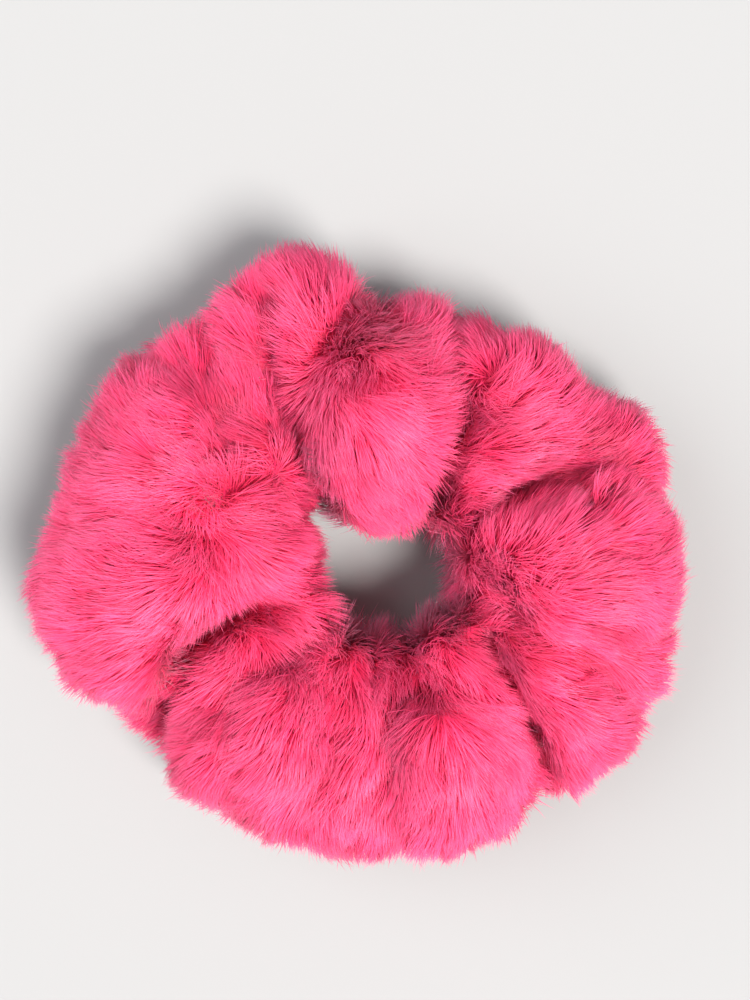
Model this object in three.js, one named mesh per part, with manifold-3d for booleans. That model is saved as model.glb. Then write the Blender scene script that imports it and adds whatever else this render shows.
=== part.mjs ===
// A long-pile faux-fur scrunchie, lying flat as it is worn round a ponytail.
//
// Millimetres, +Z up, resting on z = 0, +X along the longest extent.
// From the outside inwards: the lying pile of the fur, the knit backing that the pile is rooted in, the tunnel
// inside that backing, and the flat braided elastic in the tunnel, which is shorter than the cover and so gathers
// it into puffs. The cover's long seam runs along the hole side of the tunnel, its closing seam crosses the tunnel,
// and a zigzag holds the elastic's overlapped ends. The elastic lets the loop stretch, so every piece that runs
// round the loop is made as a left and a right part, which slide apart along +X.

import * as THREE from 'three';
import { mergeVertices } from 'three/addons/utils/BufferGeometryUtils.js';
import Module from 'manifold-3d';

const wasm = await Module();
wasm.setup();

// ---- Driving dimensions ----

const gap = 0.3; // between neighbouring solids

// The hair hole's centre is the centre of the elastic's loop. The cover lies off centre about it.
const loop = { x: 6, y: -3, z: 17.5 };
const splitX = loop.x; // the plane where the left and the right parts meet

const cover = {
  coreRadius: 35.5, // from the hair hole's centre to the middle of the cover's tube
  coreThickness: 20.5, // half-width of the tube between the puffs, pile included
  coreFlatness: 0.75, // height over width of that tube
  pileDepth: 7, // how far the lying pile stands off the backing
  backingThickness: 1.2,
  pressedPile: 2.5, // pile under the backing where the cover's weight presses on it
  sink: 4, // how much of each puff's underside is flattened by the surface it lies on
};

const elastic = {
  radius: 29, // of the relaxed loop, about 180 mm round
  thickness: 1.2,
  width: 8,
  joinAngle: 180, // where the ends overlap
  overlap: 28, // degrees of overlap, about 15 mm
};

const seam = {
  allowanceEdge: 27.2, // radius that the two raw edges of the fabric reach, inside the tunnel
  allowanceThickness: 2.2, // both layers
  threadRadius: 0.35,
  stitchLength: 3.2,
  stitchSwing: 0.45, // how far the long seam's thread swings either side of its line
  lineRadius: 25.6, // radius of the long seam's line of stitches
  closingAngle: 128, // where the cover's two ends meet, in the crease between two puffs
  closingSwing: 1.1,
  closingStitches: 13,
  closingOpening: 40, // degrees of the tube's section that the long seam's allowance takes up
};

// The puffs that the gathers make. angle and reach place a puff's centre from the hair hole's centre, in degrees
// and millimetres. out, along and up are its half-sizes away from the hole, along the loop and upwards, with the
// pile. turn twists it about its own vertical.
const puffs = [
  { angle: 1, reach: 38.5, out: 22.5, along: 19, up: 23, turn: 0 },
  { angle: 26, reach: 46, out: 16, along: 17, up: 20.5, turn: 0 },
  { angle: 54, reach: 41, out: 17, along: 15, up: 20, turn: -15 },
  { angle: 79, reach: 44, out: 12.5, along: 12, up: 18, turn: 0 },
  { angle: 94, reach: 30.5, out: 23, along: 16, up: 24, turn: 0 },
  { angle: 111, reach: 50, out: 18.5, along: 18, up: 20, turn: 0 },
  { angle: 143, reach: 47, out: 22.5, along: 21, up: 22, turn: 0 },
  { angle: 172, reach: 27, out: 14, along: 13, up: 20, turn: 0 },
  { angle: 182, reach: 47.5, out: 25.5, along: 24, up: 23.5, turn: 8 },
  { angle: 212, reach: 48, out: 12.5, along: 14, up: 14, turn: 0 },
  { angle: 235, reach: 38, out: 22, along: 22, up: 22, turn: 0 },
  { angle: 262, reach: 38, out: 21, along: 16, up: 20, turn: 0 },
  { angle: 288, reach: 37.5, out: 23.5, along: 19, up: 22.5, turn: 10 },
  { angle: 319, reach: 45.5, out: 16.5, along: 17, up: 20, turn: 0 },
  { angle: 340, reach: 46.5, out: 15, along: 14, up: 18, turn: 0 },
];

// Facets of a puff and of the tube, fine on the outside and coarser within.
const outerFacets = { puffAround: 16, puffUpright: 9, tubeAround: 28, tubeSection: 8 };
const innerFacets = { puffAround: 10, puffUpright: 6, tubeAround: 24, tubeSection: 8 };
const threadSides = 5;
const farAway = 400; // size of the blocks that cut the solids

const materials = {
  pile: { color: 0xf0407c, roughness: 0.55, metalness: 0 },
  backing: { color: 0xd83a74, roughness: 0.9, metalness: 0 },
  elastic: { color: 0xf1eee8, roughness: 0.8, metalness: 0 },
  thread: { color: 0xe0447c, roughness: 0.6, metalness: 0 },
};

// ---- Solids and meshes ----

function solidOf(geometry) {
  const bare = geometry.clone();
  bare.deleteAttribute('normal');
  bare.deleteAttribute('uv');
  const merged = mergeVertices(bare, 1e-4);
  return new wasm.Manifold(
    new wasm.Mesh({
      numProp: 3,
      vertProperties: new Float32Array(merged.attributes.position.array),
      triVerts: new Uint32Array(merged.index.array),
    }),
  );
}

function geometryOf(solid) {
  const mesh = solid.getMesh();
  const geometry = new THREE.BufferGeometry();
  geometry.setAttribute('position', new THREE.BufferAttribute(new Float32Array(mesh.vertProperties), 3));
  geometry.setIndex(new THREE.BufferAttribute(new Uint32Array(mesh.triVerts), 1));
  geometry.computeVertexNormals();
  return geometry;
}

// A puff that is too shallow at some depth to reach the ring is left out there.
function largestOf(solid) {
  return solid.decompose().sort((a, b) => b.volume() - a.volume())[0];
}

function meshOf(name, geometry, look) {
  const mesh = new THREE.Mesh(geometry, new THREE.MeshStandardMaterial(look));
  mesh.name = name;
  return mesh;
}

function block(low, high) {
  const size = new THREE.Vector3().subVectors(high, low);
  const geometry = new THREE.BoxGeometry(size.x, size.y, size.z);
  const middle = new THREE.Vector3().addVectors(low, high).multiplyScalar(0.5);
  return solidOf(geometry.translate(middle.x, middle.y, middle.z));
}

function above(z) {
  return block(new THREE.Vector3(-farAway, -farAway, z), new THREE.Vector3(farAway, farAway, farAway));
}

const leftSide = block(
  new THREE.Vector3(-farAway, -farAway, -farAway),
  new THREE.Vector3(splitX - gap / 2, farAway, farAway),
);
const rightSide = block(
  new THREE.Vector3(splitX + gap / 2, -farAway, -farAway),
  new THREE.Vector3(farAway, farAway, farAway),
);

// A point at an angle and a radius about the hair hole's centre.
function around(angleDegrees, radius, z = 0) {
  const angle = THREE.MathUtils.degToRad(angleDegrees);
  return new THREE.Vector3(loop.x + radius * Math.cos(angle), loop.y + radius * Math.sin(angle), z);
}

// ---- The cover: pile, backing and tunnel are one shape at three depths ----

function puffSolid(puff, inset, facets) {
  const geometry = new THREE.SphereGeometry(1, facets.puffAround, facets.puffUpright);
  geometry.rotateX(Math.PI / 2);
  geometry.scale(puff.out - inset, puff.along - inset, puff.up - inset);
  geometry.rotateZ(THREE.MathUtils.degToRad(puff.angle + puff.turn));
  const centre = around(puff.angle, puff.reach, puff.up - cover.sink);
  return solidOf(geometry.translate(centre.x, centre.y, centre.z));
}

function coreSolid(inset, facets) {
  const tube = cover.coreThickness - inset;
  const geometry = new THREE.TorusGeometry(cover.coreRadius, tube, facets.tubeSection, facets.tubeAround);
  geometry.scale(1, 1, cover.coreFlatness);
  return solidOf(geometry.translate(loop.x, loop.y, loop.z));
}

function coverShape(inset, floor, facets) {
  const thinnest = 2;
  const deepPuffs = puffs.filter((puff) => Math.min(puff.out, puff.along, puff.up) - inset > thinnest);
  const core = coreSolid(inset, facets);
  const whole = deepPuffs.reduce((shape, puff) => shape.add(puffSolid(puff, inset, facets)), core);
  return largestOf(whole.intersect(above(floor)));
}

const pileOutside = coverShape(0, 0, outerFacets);
const backingInset = cover.pileDepth + gap;
const backingOutside = coverShape(backingInset, cover.pressedPile + gap, innerFacets);
const pileInside = coverShape(cover.pileDepth, cover.pressedPile, innerFacets);
const tunnelInset = backingInset + cover.backingThickness;
const tunnelFloor = cover.pressedPile + gap + cover.backingThickness;
const tunnel = coverShape(tunnelInset, tunnelFloor, innerFacets);

// The raw edges of the long seam stand into the tunnel from its hole side, as a flat ring.
function seamAllowance() {
  const half = seam.allowanceThickness / 2;
  const profile = [
    new THREE.Vector2(1, -half),
    new THREE.Vector2(seam.allowanceEdge, -half),
    new THREE.Vector2(seam.allowanceEdge, half),
    new THREE.Vector2(1, half),
    new THREE.Vector2(1, -half),
  ];
  const geometry = new THREE.LatheGeometry(profile, innerFacets.tubeAround);
  geometry.rotateX(Math.PI / 2);
  return solidOf(geometry.translate(loop.x, loop.y, loop.z)).intersect(backingOutside);
}

const pile = pileOutside.subtract(pileInside);
const backing = backingOutside.subtract(tunnel).add(seamAllowance());

// ---- The elastic: one flat strip on edge, wound once round with its ends overlapped ----

function elasticStrip() {
  const start = elastic.joinAngle - elastic.overlap / 2;
  const turn = 360 + elastic.overlap;
  const steps = 72;
  const layerPitch = elastic.thickness + gap;
  const edge = (offset) =>
    Array.from({ length: steps + 1 }, (_, i) => {
      const angle = start + (turn * i) / steps;
      const radius = elastic.radius + (layerPitch * (angle - start)) / 360 + offset;
      const point = around(angle, radius);
      return new THREE.Vector2(point.x, point.y);
    });
  const outline = new THREE.Shape([...edge(elastic.thickness / 2), ...edge(-elastic.thickness / 2).reverse()]);
  const geometry = new THREE.ExtrudeGeometry(outline, { depth: elastic.width, bevelEnabled: false });
  return solidOf(geometry.translate(0, 0, loop.z - elastic.width / 2));
}

const strip = elasticStrip();
const stripEnds = strip.intersect(leftSide).decompose();

// The outer end is the layer whose solid reaches further from the hole on the join's side.
function lowestX(solid) {
  return solid.boundingBox().min[0];
}
const [outerEnd, innerEnd] = stripEnds.sort((a, b) => lowestX(a) - lowestX(b));

// ---- Threads: each a thin round cord along a swinging line ----

function threadAlong(points) {
  const section = new THREE.Shape(
    Array.from({ length: threadSides }, (_, i) => {
      const angle = (2 * Math.PI * i) / threadSides;
      return new THREE.Vector2(Math.cos(angle), Math.sin(angle)).multiplyScalar(seam.threadRadius);
    }),
  );
  const path = new THREE.CatmullRomCurve3(points, false, 'catmullrom', 0.5);
  return new THREE.ExtrudeGeometry(section, {
    steps: points.length - 1,
    extrudePath: path,
    bevelEnabled: false,
  });
}

// The long seam's thread runs along the top of the allowance, from one split face to the other.
function longSeamThread(fromAngle, toAngle) {
  const z = loop.z + seam.allowanceThickness / 2 + gap + seam.threadRadius;
  const length = THREE.MathUtils.degToRad(toAngle - fromAngle) * seam.lineRadius;
  const count = Math.round(length / seam.stitchLength);
  const points = Array.from({ length: count + 1 }, (_, i) => {
    const swing = i % 2 === 0 ? seam.stitchSwing : -seam.stitchSwing;
    return around(fromAngle + ((toAngle - fromAngle) * i) / count, seam.lineRadius + swing, z);
  });
  return threadAlong(points);
}

// The closing seam's thread zigzags round the inside of the tube, except where the long seam's allowance stands.
function closingSeamThread() {
  const flats = Math.cos(Math.PI / innerFacets.tubeSection) * Math.cos(Math.PI / innerFacets.tubeAround);
  const tubeRadius = (cover.coreThickness - tunnelInset) * flats - gap - 2 * seam.threadRadius;
  const open = seam.closingOpening;
  const count = seam.closingStitches * 2;
  const points = Array.from({ length: count + 1 }, (_, i) => {
    const section = THREE.MathUtils.degToRad(180 + open / 2 + ((360 - open) * i) / count);
    const swing = (i % 2 === 0 ? 1 : -1) * THREE.MathUtils.radToDeg(seam.closingSwing / cover.coreRadius);
    const radius = cover.coreRadius + tubeRadius * Math.cos(section);
    const z = loop.z + tubeRadius * cover.coreFlatness * Math.sin(section);
    return around(seam.closingAngle + swing, radius, z);
  });
  return threadAlong(points);
}

// The join's thread zigzags over the outer face of the elastic's overlapped ends.
function joinThread() {
  const layerPitch = elastic.thickness + gap;
  const radius = elastic.radius + layerPitch + elastic.thickness / 2 + gap + seam.threadRadius + 0.2;
  const zigzags = 9;
  const margin = 3;
  const reach = elastic.width / 2 - 1;
  const low = elastic.joinAngle - elastic.overlap / 2 + margin;
  const high = elastic.joinAngle + elastic.overlap / 2 - margin;
  const points = Array.from({ length: zigzags + 1 }, (_, i) => {
    const z = loop.z + (i % 2 === 0 ? reach : -reach);
    return around(low + ((high - low) * i) / zigzags, radius, z);
  });
  return threadAlong(points);
}

// ---- Assembly ----

const group = new THREE.Group();

const leftPart = new THREE.Group();
leftPart.add(
  meshOf('fur_pile_left', geometryOf(pile.intersect(leftSide)), materials.pile),
  meshOf('knit_backing_left', geometryOf(backing.intersect(leftSide)), materials.backing),
  meshOf('elastic_inner_end', geometryOf(innerEnd), materials.elastic),
  meshOf('elastic_outer_end', geometryOf(outerEnd), materials.elastic),
  meshOf('elastic_join_thread', joinThread(), materials.thread),
  meshOf('long_seam_thread_left', longSeamThread(92, 268), materials.thread),
  meshOf('closing_seam_thread', closingSeamThread(), materials.thread),
);

const rightPart = new THREE.Group();
rightPart.add(
  meshOf('fur_pile_right', geometryOf(pile.intersect(rightSide)), materials.pile),
  meshOf('knit_backing_right', geometryOf(backing.intersect(rightSide)), materials.backing),
  meshOf('elastic_middle', geometryOf(strip.intersect(rightSide)), materials.elastic),
  meshOf('long_seam_thread_right', longSeamThread(-88, 88), materials.thread),
);

group.add(leftPart, rightPart);

export default group;
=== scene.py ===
"""The looks of the fur scrunchie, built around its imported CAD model. Metres, +Z up."""

import math

import bmesh
import bpy
import numpy as np
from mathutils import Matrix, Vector, noise
from mathutils.kdtree import KDTree


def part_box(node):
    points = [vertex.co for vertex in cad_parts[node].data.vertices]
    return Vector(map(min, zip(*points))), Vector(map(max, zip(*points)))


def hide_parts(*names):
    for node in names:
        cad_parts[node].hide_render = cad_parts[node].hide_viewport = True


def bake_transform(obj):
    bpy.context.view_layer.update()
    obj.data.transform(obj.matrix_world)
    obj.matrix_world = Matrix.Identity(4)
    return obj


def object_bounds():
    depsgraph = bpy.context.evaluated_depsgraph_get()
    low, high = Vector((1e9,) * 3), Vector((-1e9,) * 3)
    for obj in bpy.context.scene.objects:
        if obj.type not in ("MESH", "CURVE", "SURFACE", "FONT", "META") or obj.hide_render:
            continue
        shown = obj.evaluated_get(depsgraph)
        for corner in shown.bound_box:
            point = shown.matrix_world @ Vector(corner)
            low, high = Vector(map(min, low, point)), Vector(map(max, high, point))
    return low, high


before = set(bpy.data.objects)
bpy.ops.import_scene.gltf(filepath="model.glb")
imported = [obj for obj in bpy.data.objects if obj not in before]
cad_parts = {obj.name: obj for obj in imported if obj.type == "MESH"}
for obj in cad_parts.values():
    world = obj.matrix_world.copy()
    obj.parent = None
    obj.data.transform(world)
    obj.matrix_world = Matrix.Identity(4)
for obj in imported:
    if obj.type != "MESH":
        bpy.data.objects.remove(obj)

CAD_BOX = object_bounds()
MM = 0.001
UP = np.array([0.0, 0.0, 1.0])

# ---- Places and sizes worked out from the frame ----

LOW, HIGH = CAD_BOX
CENTRE = (LOW + HIGH) / 2
SIZE = HIGH - LOW
SPLIT_X = (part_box("fur_pile_left")[1].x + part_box("fur_pile_right")[0].x) / 2


def elastic_loop():
    """The middle of the elastic's loop, its radius at the middle of the strip, and its width."""
    boxes = [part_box(n) for n in ("elastic_inner_end", "elastic_outer_end", "elastic_middle")]
    low = Vector([min(b[0][i] for b in boxes) for i in range(3)])
    high = Vector([max(b[1][i] for b in boxes) for i in range(3)])
    middle = Vector((SPLIT_X, (low.y + high.y) / 2, (low.z + high.z) / 2))
    return middle, (high.y - low.y) / 2, high.z - low.z


LOOP, LOOP_OUTER_RADIUS, ELASTIC_WIDTH = elastic_loop()

# ---- The real thing's sizes ----

BACKING_THICKNESS = 1.0 * MM
PILE_LENGTH = 9.0 * MM
STRAND_RADIUS = 0.115 * MM  # at the root: each strand is a fine lock of fibres
ELASTIC_THICKNESS = 1.2 * MM
THREAD_RADIUS = 0.28 * MM

STRANDS = 200000
PATCHES = 18
STRAND_RINGS = 3
SHARED_SHADING = 0.65  # how far a strand takes its light like the cloth under it, as dense pile does
TUFT_SIZE = 160  # strands that share a big tuft
LOCK_SIZE = 16  # strands that share a fine lock

# How the pile is combed on each puff. angle and reach place the puff's crown from the hair hole's centre,
# in degrees and millimetres. flow is the way the pile lies: 0 away from the hole, 180 towards it, 90 along
# the loop anticlockwise. fan is how far it spreads from the crown instead, and swirl turns that spread
# into a whorl.
COMBING = [
    dict(angle=1, reach=36, flow=20, fan=0.25, swirl=0),
    dict(angle=26, reach=46, flow=5, fan=0.14, swirl=0),
    dict(angle=60, reach=44, flow=30, fan=0.85, swirl=80),
    dict(angle=79, reach=46, flow=0, fan=0.14, swirl=0),
    dict(angle=94, reach=43, flow=205, fan=0.16, swirl=0),
    dict(angle=111, reach=52, flow=20, fan=0.16, swirl=0),
    dict(angle=143, reach=45, flow=0, fan=0.16, swirl=0),
    dict(angle=172, reach=27, flow=150, fan=0.18, swirl=0),
    dict(angle=182, reach=42, flow=15, fan=0.2, swirl=0),
    dict(angle=212, reach=48, flow=0, fan=0.14, swirl=0),
    dict(angle=235, reach=34, flow=-5, fan=0.2, swirl=0),
    dict(angle=262, reach=32, flow=0, fan=0.18, swirl=0),
    dict(angle=288, reach=33, flow=-5, fan=0.23, swirl=0),
    dict(angle=319, reach=44, flow=0, fan=0.16, swirl=0),
    dict(angle=340, reach=44, flow=5, fan=0.16, swirl=0),
]

# Deep creases where gathers meet, each a line over the top of the cover. A line's points are angles and
# reaches, as above, in degrees and millimetres. depth and width are in millimetres.
CREASES = [
    dict(line=[(144, 17), (143, 31), (136, 43), (131, 52)], depth=4.5, width=3.2),
    dict(line=[(131, 21), (127, 26), (119, 38), (117, 46), (112, 56)], depth=9.0, width=3.0),
    dict(line=[(58, 15), (62, 22), (64, 33), (72, 44), (74, 52)], depth=5.5, width=2.8),
    dict(line=[(31, 27), (30, 32), (30, 38), (27, 49)], depth=9.0, width=4.3),
    dict(line=[(20, 50), (14, 57)], depth=2.0, width=2.5),
    dict(line=[(20, 40), (11, 42), (5, 40), (6, 50)], depth=3.0, width=2.4),
    dict(line=[(193, 26), (196, 33), (202, 40), (210, 48), (214, 52)], depth=9.0, width=2.9),
    dict(line=[(222, 36), (228, 41)], depth=3.0, width=2.4),
    dict(line=[(277, 23), (276, 31), (268, 41)], depth=3.0, width=2.6),
    dict(line=[(283, 14), (283, 19), (288, 25)], depth=2.5, width=2.0),
    dict(line=[(324, 23), (319, 30), (315, 36), (313, 43), (309, 49)], depth=7.5, width=2.9),
    dict(line=[(338, 38), (334, 47), (332, 51)], depth=2.8, width=3.0),
    dict(line=[(331, 15), (340, 20), (345, 26)], depth=4.0, width=2.6),
]

# Where the cover is a little fuller (depth below 0) or slimmer than its CAD solid, with the same measures.
SHAPING = [
    dict(line=[(158, 50), (161, 60)], depth=-6.5, width=7.0),
    dict(line=[(138, 57), (138, 63)], depth=4.0, width=6.5),
    dict(line=[(176, 58), (176, 64)], depth=1.5, width=7.0),
    dict(line=[(201, 52), (201, 60)], depth=-2.0, width=8.0),
    dict(line=[(235, 50), (235, 58)], depth=3.4, width=7.0),
    dict(line=[(249, 48), (249, 56)], depth=-2.5, width=5.0),
    dict(line=[(262, 50), (262, 58)], depth=2.0, width=5.0),
    dict(line=[(273, 48), (273, 56)], depth=-2.0, width=4.0),
    dict(line=[(289, 50), (289, 58)], depth=2.6, width=7.0),
    dict(line=[(317, 50), (317, 58)], depth=1.5, width=6.0),
    dict(line=[(336, 50), (336, 56)], depth=-2.0, width=8.0),
    dict(line=[(90, 50), (90, 58)], depth=1.5, width=7.0),
    dict(line=[(205, 16), (240, 15), (290, 15), (325, 17)], depth=-5.5, width=5.0),
    dict(line=[(20, 17), (40, 15), (60, 15)], depth=-3.0, width=4.5),
]

# ---- Small helpers ----


def unit(vectors):
    return vectors / np.maximum(np.linalg.norm(vectors, axis=-1, keepdims=True), 1e-12)


def loop_point(angle_degrees, radius, z=0.0):
    angle = math.radians(angle_degrees)
    return Vector((LOOP.x + radius * math.cos(angle), LOOP.y + radius * math.sin(angle), z))


def new_object(name, vertices, faces, smooth=True):
    mesh = bpy.data.meshes.new(name)
    mesh.from_pydata([tuple(v) for v in vertices], [], [tuple(f) for f in faces])
    mesh.polygons.foreach_set("use_smooth", [smooth] * len(mesh.polygons))
    mesh.update()
    obj = bpy.data.objects.new(name, mesh)
    bpy.context.scene.collection.objects.link(obj)
    return obj


def coordinates(mesh):
    co = np.empty(len(mesh.vertices) * 3)
    mesh.vertices.foreach_get("co", co)
    return co.reshape(-1, 3)


def vertex_normals(mesh):
    normals = np.empty(len(mesh.vertices) * 3)
    mesh.vertices.foreach_get("normal", normals)
    return normals.reshape(-1, 3)


def set_coordinates(mesh, co):
    mesh.vertices.foreach_set("co", np.asarray(co, np.float32).ravel())
    mesh.update()


def stretch_with_loop(obj):
    """Every piece runs round the loop. This bakes the piece's placement into its mesh and stretches
    nothing.
    """
    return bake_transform(obj)


# ---- Materials ----


def new_material(name):
    material = bpy.data.materials.new(name)
    material.use_nodes = True
    nodes, links = material.node_tree.nodes, material.node_tree.links
    return material, nodes, links, nodes["Principled BSDF"]


def colour_ramp(nodes, stops):
    ramp = nodes.new("ShaderNodeValToRGB")
    ramp.color_ramp.elements[0].position, ramp.color_ramp.elements[0].color = stops[0]
    ramp.color_ramp.elements[1].position, ramp.color_ramp.elements[1].color = stops[-1]
    for position, colour in stops[1:-1]:
        ramp.color_ramp.elements.new(position).color = colour
    return ramp


def fur_material():
    """Acrylic pile: deep pink at the roots and paler at the tips. Each strand's tone differs at random, and
    it is also coloured darker in the creases as painted shade and paler where it lies flat as painted
    sheen.
    """
    material, nodes, links, shader = new_material("fur_pile")
    uv = nodes.new("ShaderNodeUVMap")
    uv.uv_map = "OFBake"
    split = nodes.new("ShaderNodeSeparateXYZ")
    links.new(uv.outputs["UV"], split.inputs[0])
    along = colour_ramp(nodes, [
        (0.0, (0.86, 0.022, 0.115, 1)),
        (0.40, (0.96, 0.045, 0.170, 1)),
        (0.80, (0.98, 0.100, 0.265, 1)),
        (1.0, (1.00, 0.215, 0.400, 1)),
    ])
    links.new(split.outputs["X"], along.inputs[0])
    # Tone ramp: tone that differs at random per tuft and lock, with painted shade at its dark end and
    # painted sheen towards its pale end.
    tone_and_painted_light = colour_ramp(nodes, [
        (0.0, (0.62, 0.34, 0.46, 1)),
        (0.5, (0.96, 0.84, 0.88, 1)),
        (1.0, (1.0, 1.0, 1.0, 1)),
    ])
    links.new(split.outputs["Y"], tone_and_painted_light.inputs[0])
    mix = nodes.new("ShaderNodeMix")
    mix.data_type = "RGBA"
    mix.blend_type = "MULTIPLY"
    mix.inputs["Factor"].default_value = 1.0
    links.new(along.outputs[0], mix.inputs["A"])
    links.new(tone_and_painted_light.outputs[0], mix.inputs["B"])
    links.new(mix.outputs["Result"], shader.inputs["Base Color"])
    shader.inputs["Roughness"].default_value = 0.55
    shader.inputs["Specular IOR Level"].default_value = 0.35
    shader.inputs["Sheen Weight"].default_value = 0.30
    shader.inputs["Sheen Roughness"].default_value = 0.4
    shader.inputs["Sheen Tint"].default_value = (1.0, 0.50, 0.66, 1)
    return material


def knit_material():
    """Fine jersey that the pile is rooted in."""
    material, nodes, links, shader = new_material("knit_backing")
    place = nodes.new("ShaderNodeTexCoord")
    wales = nodes.new("ShaderNodeTexWave")
    wales.inputs["Scale"].default_value = 420.0
    wales.inputs["Distortion"].default_value = 1.2
    links.new(place.outputs["Object"], wales.inputs["Vector"])
    ramp = colour_ramp(nodes, [(0.0, (0.42, 0.006, 0.055, 1)), (1.0, (0.72, 0.016, 0.120, 1))])
    links.new(wales.outputs["Color"], ramp.inputs[0])
    links.new(ramp.outputs[0], shader.inputs["Base Color"])
    bump = nodes.new("ShaderNodeBump")
    bump.inputs["Strength"].default_value = 0.5
    bump.inputs["Distance"].default_value = 0.15 * MM
    links.new(wales.outputs["Fac"], bump.inputs["Height"])
    links.new(bump.outputs[0], shader.inputs["Normal"])
    shader.inputs["Roughness"].default_value = 0.9
    return material


def elastic_material():
    """White braided elastic: crossing yarns over the ribs of the mesh."""
    material, nodes, links, shader = new_material("braided_elastic")
    place = nodes.new("ShaderNodeTexCoord")
    yarns = nodes.new("ShaderNodeTexWave")
    yarns.wave_type = "BANDS"
    yarns.bands_direction = "DIAGONAL"
    yarns.inputs["Scale"].default_value = 260.0
    yarns.inputs["Distortion"].default_value = 2.0
    links.new(place.outputs["Object"], yarns.inputs["Vector"])
    ramp = colour_ramp(nodes, [(0.0, (0.62, 0.60, 0.56, 1)), (1.0, (0.90, 0.88, 0.84, 1))])
    links.new(yarns.outputs["Color"], ramp.inputs[0])
    links.new(ramp.outputs[0], shader.inputs["Base Color"])
    bump = nodes.new("ShaderNodeBump")
    bump.inputs["Strength"].default_value = 0.4
    bump.inputs["Distance"].default_value = 0.1 * MM
    links.new(yarns.outputs["Fac"], bump.inputs["Height"])
    links.new(bump.outputs[0], shader.inputs["Normal"])
    shader.inputs["Roughness"].default_value = 0.75
    return material


def thread_material():
    """Pink polyester sewing thread, twisted from two plies."""
    material, nodes, links, shader = new_material("sewing_thread")
    place = nodes.new("ShaderNodeTexCoord")
    twist = nodes.new("ShaderNodeTexNoise")
    twist.inputs["Scale"].default_value = 1800.0
    links.new(place.outputs["Object"], twist.inputs["Vector"])
    ramp = colour_ramp(nodes, [(0.3, (0.55, 0.012, 0.10, 1)), (0.7, (0.85, 0.06, 0.23, 1))])
    links.new(twist.outputs["Fac"], ramp.inputs[0])
    links.new(ramp.outputs[0], shader.inputs["Base Color"])
    shader.inputs["Roughness"].default_value = 0.5
    return material


def floor_material():
    material, _, _, shader = new_material("floor")
    shader.inputs["Base Color"].default_value = (0.36, 0.36, 0.36, 1)
    shader.inputs["Roughness"].default_value = 0.85
    return material


# ---- Camera, floor and light ----


def make_camera():
    """Straight above the object, which lies left of and below the frame's middle."""
    data = bpy.data.cameras.new("camera")
    camera = bpy.data.objects.new("camera", data)
    bpy.context.scene.collection.objects.link(camera)
    frame_height = 1.505 * SIZE.x
    aim_right, aim_up = 0.030 * SIZE.x, 0.086 * SIZE.x
    distance = 0.32
    data.lens = data.sensor_width * distance / frame_height
    aim = Vector((CENTRE.x + aim_right, CENTRE.y + aim_up, 0.5 * HIGH.z))
    camera.location = aim + Vector((0, 0, distance))
    data.clip_start, data.clip_end = 0.01, 10
    bpy.context.scene.camera = camera


def make_stage():
    half = 30  # metres
    clearance = 0.1 * MM
    corners = [(-half, -half, 0), (half, -half, 0), (half, half, 0), (-half, half, 0)]
    floor = new_object("floor", corners, [(0, 1, 2, 3)])
    floor.location.z = -clearance
    floor.data.materials.append(floor_material())


def soft_light(name, towards, watts, spread_degrees, colour):
    """A wide, even light from far away, so that the floor is as bright everywhere."""
    data = bpy.data.lights.new(name, "SUN")
    data.angle, data.energy, data.color = math.radians(spread_degrees), watts, colour
    light = bpy.data.objects.new(name, data)
    light.rotation_euler = Vector(towards).to_track_quat("Z", "Y").to_euler()
    bpy.context.scene.collection.objects.link(light)


def make_lights():
    soft_light("key", (0.35, -0.35, 0.80), 5.6, 26, (1.0, 0.97, 0.94))
    soft_light("fill", (-0.65, 0.10, 0.55), 2.0, 60, (0.96, 0.98, 1.0))
    world = bpy.data.worlds.new("studio")
    world.use_nodes = True
    background = world.node_tree.nodes["Background"]
    background.inputs["Color"].default_value = (0.95, 0.96, 1.0, 1)
    background.inputs["Strength"].default_value = 0.45
    bpy.context.scene.world = world
    bpy.context.scene.view_settings.view_transform = "Standard"


# ---- The knit backing: the gathered cloth that the pile is rooted in ----


def closed_cover_solid():
    """The two backing solids as one ring, each end pushed over the gap between them."""
    overlap = 0.8 * MM
    near = 0.5 * MM
    parts = []
    for node, push in (("knit_backing_left", overlap), ("knit_backing_right", -overlap)):
        bm = bmesh.new()
        bm.from_mesh(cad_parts[node].data)
        bmesh.ops.remove_doubles(bm, verts=bm.verts, dist=1e-6)
        for vertex in bm.verts:
            if abs(vertex.co.x - SPLIT_X) < near:
                vertex.co.x += push
        parts.append(([v.co.copy() for v in bm.verts], [[v.index for v in f.verts] for f in bm.faces]))
        bm.free()
    vertices, faces = [], []
    for points, polygons in parts:
        first = len(vertices)
        vertices += points
        faces += [[first + i for i in polygon] for polygon in polygons]
    return new_object("cover_solid", vertices, faces, smooth=False)


def outer_surface(solid, voxel):
    """The outside of the closed ring as an even mesh: the surface that the pile grows from."""
    remesh = solid.modifiers.new("remesh", "REMESH")
    remesh.mode = "VOXEL"
    remesh.voxel_size = voxel
    depsgraph = bpy.context.evaluated_depsgraph_get()
    return bpy.data.meshes.new_from_object(solid.evaluated_get(depsgraph))


def smoothed(mesh, rounds, strength=0.5):
    """Evens the surface out by moving each vertex towards its neighbours' mean."""
    co = coordinates(mesh)
    edges = np.empty(len(mesh.edges) * 2, int)
    mesh.edges.foreach_get("vertices", edges)
    a, b = edges.reshape(-1, 2).T
    count = np.bincount(np.concatenate([a, b]), minlength=len(co))[:, None]
    for _ in range(rounds):
        total = np.zeros_like(co)
        np.add.at(total, a, co[b])
        np.add.at(total, b, co[a])
        co += strength * (total / count - co)
    set_coordinates(mesh, co)


def puff_out(mesh, depth):
    """Moves the surface outwards, so that puffs fill and the creases between them close up."""
    set_coordinates(mesh, coordinates(mesh) + depth * vertex_normals(mesh))


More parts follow.
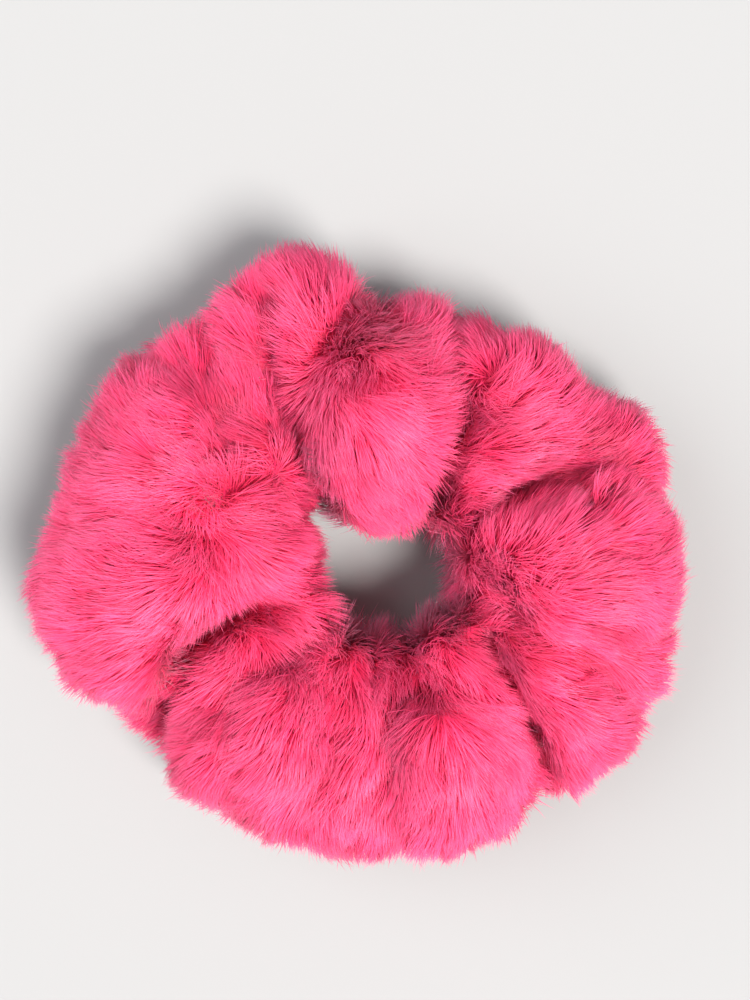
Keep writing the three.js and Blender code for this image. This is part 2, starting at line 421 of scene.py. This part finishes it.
def fold(mesh, depth):
    """Gathers: folds that cross the tube, closest together on the hole side, where the elastic is."""
    folds_round = 15
    half_height = 20 * MM
    outer_reach = 60 * MM
    fine_depth, fine_scale = 0.45, 2.3
    co = coordinates(mesh)
    normals = vertex_normals(mesh)
    moved = co.copy()
    for i, (point, normal) in enumerate(zip(co, normals)):
        x, y = point[0] - LOOP.x, point[1] - LOOP.y
        angle = math.atan2(y, x)
        height = (point[2] - LOOP.z) / half_height
        place = Vector((math.cos(angle), math.sin(angle), 0)) * (folds_round / 3.2)
        place.z = 0.7 * height + 3.0 * math.hypot(x, y) / outer_reach
        wave = noise.noise(place) + fine_depth * noise.noise(place * fine_scale)
        moved[i] += normal * depth * wave
    set_coordinates(mesh, moved)


def distance_to_line(points, line):
    """Distance in plan from each point to a line of points."""
    nearest = np.full(len(points), np.inf)
    for a, b in zip(line[:-1], line[1:]):
        a, b = np.array(a)[:2], np.array(b)[:2]
        share = np.clip(((points[:, :2] - a) @ (b - a)) / ((b - a) @ (b - a)), 0, 1)[:, None]
        nearest = np.minimum(nearest, np.linalg.norm(points[:, :2] - (a + share * (b - a)), axis=1))
    return nearest


def depth_along(lines, co):
    """How far the cloth is drawn in at each point, for lines of the tables above."""
    depth = np.zeros(len(co))
    for line in lines:
        points = [loop_point(angle, reach * MM) for angle, reach in line["line"]]
        share = distance_to_line(co, points) / (line["width"] * MM)
        depth += line["depth"] * MM * np.exp(-(share**2))
    return depth


def draw_in(mesh, lines):
    """Draws the cloth's upper part in along lines, such as the creases where gathers meet."""
    begins, fades_in = 8 * MM, 14 * MM
    co, normals = coordinates(mesh), vertex_normals(mesh)
    depth = depth_along(lines, co)
    upper = np.clip((co[:, 2] - begins) / fades_in, 0, 1)
    set_coordinates(mesh, co - normals * (depth * upper)[:, None])


def flat_underneath(mesh, lowest):
    co = coordinates(mesh)
    co[:, 2] = np.maximum(co[:, 2], lowest)
    set_coordinates(mesh, co)


def make_backing():
    voxel = 1.5 * MM
    puff_rounds, puff_step = 4, 1.15 * MM
    fold_depth = 2.4 * MM
    lowest = 1.6 * MM
    solid = closed_cover_solid()
    mesh = outer_surface(solid, voxel)
    bpy.data.objects.remove(solid)
    smoothed(mesh, 6)
    for _ in range(puff_rounds):
        puff_out(mesh, puff_step)
        smoothed(mesh, 1)
    fold(mesh, fold_depth)
    draw_in(mesh, SHAPING)
    draw_in(mesh, CREASES)
    smoothed(mesh, 2)
    flat_underneath(mesh, lowest)
    mesh.polygons.foreach_set("use_smooth", [True] * len(mesh.polygons))
    backing = bpy.data.objects.new("knit_backing", mesh)
    bpy.context.scene.collection.objects.link(backing)
    return backing


def thicken(backing):
    """The cloth's own thickness, inwards from the surface that the pile grows from."""
    solidify = backing.modifiers.new("thickness", "SOLIDIFY")
    solidify.thickness = BACKING_THICKNESS
    solidify.offset = -1
    depsgraph = bpy.context.evaluated_depsgraph_get()
    mesh = bpy.data.meshes.new_from_object(backing.evaluated_get(depsgraph))
    backing.modifiers.clear()
    backing.data = mesh


# ---- The pile ----


def scatter(mesh, count, rng):
    """Roots spread evenly over a surface, with its smooth normals."""
    mesh.calc_loop_triangles()
    triangles = np.empty(len(mesh.loop_triangles) * 3, int)
    mesh.loop_triangles.foreach_get("vertices", triangles)
    triangles = triangles.reshape(-1, 3)
    normals = vertex_normals(mesh)
    corners = coordinates(mesh)[triangles]
    areas = np.linalg.norm(np.cross(corners[:, 1] - corners[:, 0], corners[:, 2] - corners[:, 0]), axis=1)
    chosen = rng.choice(len(triangles), count, p=areas / areas.sum())
    u, v = rng.random((2, count))
    over = u + v > 1
    u[over], v[over] = 1 - u[over], 1 - v[over]
    share = np.stack([1 - u - v, u, v], 1)[:, :, None]
    return (corners[chosen] * share).sum(1), unit((normals[triangles[chosen]] * share).sum(1))


def comb_field(roots, normals):
    """The way the pile lies along the surface at each root, and how strongly it is combed that way."""
    total = np.zeros_like(roots)
    weights = np.zeros((len(roots), 1))
    spread = 10 * MM
    crown_size = 5 * MM
    firmness = 1.4
    for puff in COMBING:
        crown = np.array(loop_point(puff["angle"], puff["reach"] * MM, 0))
        out = unit(crown - np.array([LOOP.x, LOOP.y, 0]))
        turned = math.radians(puff["flow"])
        side = np.cross(UP, out)
        flow = out * math.cos(turned) + side * math.sin(turned)
        offset = roots - crown
        offset[:, 2] = 0
        distance = np.linalg.norm(offset, axis=1, keepdims=True)
        whorl = math.radians(puff["swirl"])
        away = offset / np.sqrt(distance**2 + crown_size**2)
        away = away * math.cos(whorl) + np.cross(UP, away) * math.sin(whorl)
        weight = np.exp(-((distance / spread) ** 2)) + 1e-6
        total += (flow * (1 - puff["fan"]) + away * puff["fan"]) * weight
        weights += weight
    agreement = np.linalg.norm(total / weights, axis=1)
    heading = unit(total + 1e-9)
    over = heading * normals[:, 2:3] - UP * (heading * normals).sum(1, keepdims=True)
    over = over - normals * (over * normals).sum(1, keepdims=True)
    return unit(over), np.clip(agreement * firmness, 0, 1)


def nearest_leader(roots, leaders):
    """For each root, the index of the nearest of the first few roots, which lead the tufts."""
    tree = KDTree(leaders)
    for i in range(leaders):
        tree.insert(roots[i], i)
    tree.balance()
    return np.array([tree.find(p)[1] for p in roots])


def noise_at(points, size):
    """Smooth noise whose waves are about the given size across."""
    return np.array([noise.noise(Vector(p) / size) for p in points])


def strand_lines(roots, normals, comb, lengths, lean, bend, droop):
    """The middle line of each strand: off the cloth, over the way it is combed, and down by its weight."""
    lines = [roots]
    lift = normals * np.cos(lean)[:, None] + comb * np.sin(lean)[:, None]
    fall = unit(comb - UP * droop)
    for k in range(STRAND_RINGS):
        share = (bend * (k + 0.5) / STRAND_RINGS)[:, None]
        heading = unit(lift * (1 - share) + fall * share)
        lines.append(lines[-1] + heading * (lengths / STRAND_RINGS)[:, None])
    return np.stack(lines, 1)


def gather_into(lines, leader, strength):
    """Draws each strand towards its leader's line, most at the tip."""
    along = np.linspace(0, 1, lines.shape[1])[None, :, None] ** 1.4
    target = lines[leader]
    return lines + (target - lines) * along * strength[:, None, None]


def strand_mesh(name, lines, normals, radius, tone_and_painted_light):
    """Closed three-sided tapering strands as one mesh, with where each point is on its strand as its UV,
    and the strand's tone, painted shade and sheen included, as the UV's second coordinate.
    """
    count, points = lines.shape[:2]
    rings = points - 1
    along = np.linspace(0, 1, points)
    heading = unit(np.gradient(lines, axis=1))
    side = unit(np.cross(heading, normals[:, None, :]))
    other = np.cross(heading, side)
    taper = radius[:, None] * (1 - 0.8 * along[None, :rings] ** 1.1)
    turns = (2 * math.pi * np.arange(3) / 3)[None, None, :, None]
    outward = side[:, :rings, None, :] * np.cos(turns) + other[:, :rings, None, :] * np.sin(turns)
    ring_vertices = lines[:, :rings, None, :] + taper[:, :, None, None] * outward
    vertices = np.concatenate([ring_vertices.reshape(count, rings * 3, 3), lines[:, -1:, :]], 1)
    own = np.concatenate([outward.reshape(count, rings * 3, 3), heading[:, -1:, :]], 1)
    shading = unit(own * (1 - SHARED_SHADING) + normals[:, None, :] * SHARED_SHADING)
    each = rings * 3 + 1
    quads = []
    for k in range(rings - 1):
        for s in range(3):
            n = (s + 1) % 3
            quads.append([3 * k + s, 3 * k + n, 3 * k + 3 + n, 3 * k + 3 + s])
    last = 3 * (rings - 1)
    triangles = [[last + s, last + (s + 1) % 3, rings * 3] for s in range(3)] + [[2, 1, 0]]
    first = (np.arange(count) * each)[:, None, None]
    quad_loops = (first + np.array(quads)[None]).reshape(count, -1)
    triangle_loops = (first + np.array(triangles)[None]).reshape(count, -1)
    loops = np.concatenate([quad_loops, triangle_loops], 1).ravel().astype(np.int32)
    sizes = np.tile(np.array([4] * len(quads) + [3] * len(triangles)), count)
    starts = np.concatenate([[0], np.cumsum(sizes)[:-1]]).astype(np.int32)
    mesh = bpy.data.meshes.new(name)
    mesh.vertices.add(count * each)
    mesh.vertices.foreach_set("co", vertices.astype(np.float32).ravel())
    mesh.loops.add(len(loops))
    mesh.loops.foreach_set("vertex_index", loops)
    mesh.polygons.add(len(sizes))
    mesh.polygons.foreach_set("loop_start", starts)
    mesh.polygons.foreach_set("use_smooth", np.ones(len(sizes), bool))
    vertex_along = np.concatenate([np.repeat(along[:rings], 3), [1.0]])
    uv = np.stack([np.tile(vertex_along, count), np.repeat(tone_and_painted_light, each)], 1)
    layer = mesh.uv_layers.new(name="OFBake")
    layer.data.foreach_set("uv", (0.01 + 0.98 * uv[loops]).astype(np.float32).ravel())
    mesh.update(calc_edges=True)
    mesh.normals_split_custom_set_from_vertices(shading.reshape(-1, 3).astype(np.float32))
    obj = bpy.data.objects.new(name, mesh)
    bpy.context.scene.collection.objects.link(obj)
    return obj


def make_pile(mesh):
    slow_wave, quick_wave, patch_and_glint_wave = 11 * MM, 4.5 * MM, 7 * MM
    full_press_and_shade_depth = 6 * MM
    under_height = 9 * MM
    floor_gap = 0.35 * MM
    rng = np.random.default_rng(11)
    roots, normals = scatter(mesh, STRANDS, rng)
    tufts, locks = STRANDS // TUFT_SIZE, STRANDS // LOCK_SIZE
    tuft, lock = nearest_leader(roots, tufts), nearest_leader(roots, locks)
    comb, pull = comb_field(roots, normals)
    slow_wander = noise_at(roots, slow_wave)
    quick_wander = noise_at(roots, quick_wave)
    uneven = rng.normal(0, 9, tufts)[tuft] + rng.normal(0, 9, locks)[lock] + rng.normal(0, 9, STRANDS)
    turn = np.radians(45 * slow_wander + 35 * quick_wander + (3 - 2 * pull) * uneven)
    comb = unit(comb * np.cos(turn)[:, None] + np.cross(normals, comb) * np.sin(turn)[:, None])
    lean = np.radians(42 + 12 * pull + rng.normal(0, 5, tufts)[tuft] + rng.normal(0, 6, STRANDS))
    stray = rng.random(STRANDS) < 0.04
    lean[stray] -= np.radians(18)
    lengths = PILE_LENGTH * (1 + rng.normal(0, 0.10, tufts)[tuft] + rng.normal(0, 0.10, STRANDS))
    under = np.clip(1 - roots[:, 2] / under_height, 0, 1) * np.clip(-normals[:, 2], 0, 1)
    # How deep each root lies in a crease: it shortens the pile there, and it also darkens the pile's colour
    # as painted shade.
    crease_press_and_shade = np.clip(depth_along(CREASES, roots) / full_press_and_shade_depth, 0, 1)
    lengths *= (1 - 0.5 * under) * (1 - 0.5 * crease_press_and_shade)
    lines = strand_lines(roots, normals, comb, lengths, lean, 0.3 + 0.4 * pull, 0.25)
    lines = gather_into(lines, lock, rng.uniform(0.05, 0.35, STRANDS))
    lines = gather_into(lines, tuft, np.where(stray, 0.05, rng.uniform(0.0, 0.22, STRANDS)))
    lines[..., 2] = np.maximum(lines[..., 2], floor_gap)
    # Each strand's tone: random per tuft, lock and strand, with painted shade and painted sheen added
    # below.
    tone_and_painted_light = 0.5 + 0.16 * rng.normal(0, 1, tufts)[tuft] + 0.10 * rng.normal(0, 1, locks)[lock]
    # Painted shade: strands in the creases are coloured darker.
    tone_and_painted_light -= 0.8 * crease_press_and_shade
    # Painted sheen: strands that lie flatter are coloured paler, and a slow noise adds broad paler and
    # deeper patches as painted glints.
    painted_sheen_flatness = np.linalg.norm(unit(lines[:, -1] - lines[:, 0])[:, :2], axis=1)
    tone_and_painted_light += 0.5 * (painted_sheen_flatness - painted_sheen_flatness.mean()) + 0.5 * noise_at(roots, patch_and_glint_wave)
    tone_and_painted_light = np.clip(tone_and_painted_light + 0.10 * rng.normal(0, 1, STRANDS), 0, 1)
    radius = STRAND_RADIUS * rng.uniform(0.75, 1.25, STRANDS)
    order = np.argsort(np.arctan2(roots[:, 1] - LOOP.y, roots[:, 0] - LOOP.x))
    material = fur_material()
    patches = []
    for i, chosen in enumerate(np.array_split(order, PATCHES)):
        name = f"fur_pile_{i + 1:02d}"
        patch = strand_mesh(name, lines[chosen], normals[chosen], radius[chosen], tone_and_painted_light[chosen])
        patch.data.materials.append(material)
        patches.append(stretch_with_loop(patch))
    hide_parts("fur_pile_left", "fur_pile_right")
    return patches


# ---- Elastic and threads ----


def swept(name, path, outline_at):
    """A closed tube along a path of points. outline_at(i) gives the section's points at step i."""
    rings = [outline_at(i) for i in range(len(path))]
    sides = len(rings[0])
    vertices = [p for ring in rings for p in ring]
    faces = []
    for i in range(len(path) - 1):
        for s in range(sides):
            n = (s + 1) % sides
            a, b = i * sides, (i + 1) * sides
            faces.append([a + s, a + n, b + n, b + s])
    faces.append(list(range(sides))[::-1])
    faces.append([(len(path) - 1) * sides + s for s in range(sides)])
    obj = new_object(name, vertices, faces)
    bm = bmesh.new()
    bm.from_mesh(obj.data)
    bmesh.ops.recalc_face_normals(bm, faces=bm.faces)
    bm.to_mesh(obj.data)
    bm.free()
    return obj


def make_elastic():
    """One ribbed strip on edge, wound once round with its ends overlapped."""
    layer = 1.5 * MM
    overlap = 28.0
    steps = 260
    inner_radius = LOOP_OUTER_RADIUS - ELASTIC_THICKNESS / 2 - 0.75 * layer
    start = 180 - overlap / 2
    ribs = 9
    across = 36
    groove = 0.28 * MM
    plaits, plait_depth = 150, 0.05 * MM

    def section(i):
        angle = start + (360 + overlap) * i / (steps - 1)
        radius = inner_radius + layer * (angle - start) / 360
        points = []
        for face in (1, -1):
            for k in range(across + 1):
                share = k / across
                height = (share - 0.5) * face * ELASTIC_WIDTH
                rib = abs(math.sin(math.pi * ribs * share)) ** 0.7
                plait = plait_depth * math.sin(math.radians(angle) * plaits + math.pi * ribs * share)
                edge = ELASTIC_THICKNESS / 2 - groove * (1 - rib)
                depth = face * (edge + plait * rib)
                points.append(loop_point(angle, radius + depth, LOOP.z + height))
        return points

    elastic = swept("braided_elastic", range(steps), section)
    elastic.data.materials.append(elastic_material())
    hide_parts("elastic_inner_end", "elastic_outer_end", "elastic_middle")
    return stretch_with_loop(elastic)


def smooth_path(points, each=6):
    """Points close together along a smooth curve through the given ones."""
    p = [np.array(v) for v in points]
    p = [2 * p[0] - p[1], *p, 2 * p[-1] - p[-2]]
    out = []
    for i in range(1, len(p) - 2):
        for k in range(each):
            t = k / each
            a, b, c, d = p[i - 1], p[i], p[i + 1], p[i + 2]
            out.append(0.5 * (2 * b + (c - a) * t + (2 * a - 5 * b + 4 * c - d) * t * t
                              + (3 * b - a - 3 * c + d) * t ** 3))
    out.append(p[-2])
    return np.array(out)


def make_thread(name, points, node_names, material):
    """Two-ply thread: the section's two lobes turn as it runs."""
    path = smooth_path(points)
    heading = unit(np.gradient(path, axis=0))
    side = unit(np.cross(heading, UP + np.array([0.013, 0.007, 0.0])))
    other = np.cross(heading, side)
    sides = 10

    def section(i):
        twist = 0.9 * i
        ring = []
        for s in range(sides):
            around = 2 * math.pi * s / sides
            radius = THREAD_RADIUS * (0.82 + 0.18 * abs(math.cos(around - twist)))
            ring.append(path[i] + radius * (side[i] * math.cos(around) + other[i] * math.sin(around)))
        return ring

    thread = swept(name, path, section)
    thread.data.materials.append(material)
    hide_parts(*node_names)
    return stretch_with_loop(thread)


def make_long_seam(material):
    """Swings to and fro along the hole side of the tube, nearly once round."""
    low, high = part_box("long_seam_thread_left")
    height = ((low + high) / 2).z
    swing = 0.45 * MM
    swing_room = 0.8 * MM
    radius = (high.y - low.y) / 2 - swing_room
    first_angle, turned = 92, 356
    stitches = 62
    points = [
        loop_point(first_angle + turned * i / stitches, radius + (swing if i % 2 else -swing), height)
        for i in range(stitches + 1)
    ]
    nodes = ["long_seam_thread_left", "long_seam_thread_right"]
    make_thread("long_seam_thread", points, nodes, material)


def make_closing_seam(material):
    """Zigzags round the tube where its two ends meet, open on the hole side."""
    low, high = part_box("closing_seam_thread")
    offset = (low + high) / 2 - LOOP
    angle = math.degrees(math.atan2(offset.y, offset.x))
    tube_middle = math.hypot(offset.x, offset.y)
    tube_height = (high.z - low.z) / 2 - THREAD_RADIUS
    tube_width = tube_height / 0.75
    opening = 40
    crossings = 26
    swing = 1.8
    points = []
    for i in range(crossings + 1):
        section = math.radians(180 + opening / 2 + (360 - opening) * i / crossings)
        radius = tube_middle + tube_width * math.cos(section)
        height = LOOP.z + tube_height * math.sin(section)
        points.append(loop_point(angle + (swing if i % 2 else -swing), radius, height))
    make_thread("closing_seam_thread.sewn", points, ["closing_seam_thread"], material)


def make_elastic_join(material):
    """Zigzags across the width of the elastic's overlapped ends."""
    low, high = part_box("elastic_join_thread")
    radius = LOOP.x - low.x
    reach = (high.z - low.z) / 2
    half_length = 11
    zigzags = 14
    points = [
        loop_point(180 + half_length * (2 * i / zigzags - 1), radius, LOOP.z + (reach if i % 2 else -reach))
        for i in range(zigzags + 1)
    ]
    make_thread("elastic_join_thread.sewn", points, ["elastic_join_thread"], material)


def make_threads():
    material = thread_material()
    make_long_seam(material)
    make_closing_seam(material)
    make_elastic_join(material)


# ---- Everything ----


def main():
    make_camera()
    make_stage()
    make_lights()
    backing = make_backing()
    patches = make_pile(backing.data)
    thicken(backing)
    backing.data.materials.clear()
    backing.data.materials.append(knit_material())
    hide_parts("knit_backing_left", "knit_backing_right")
    stretch_with_loop(backing)
    make_elastic()
    make_threads()


main()
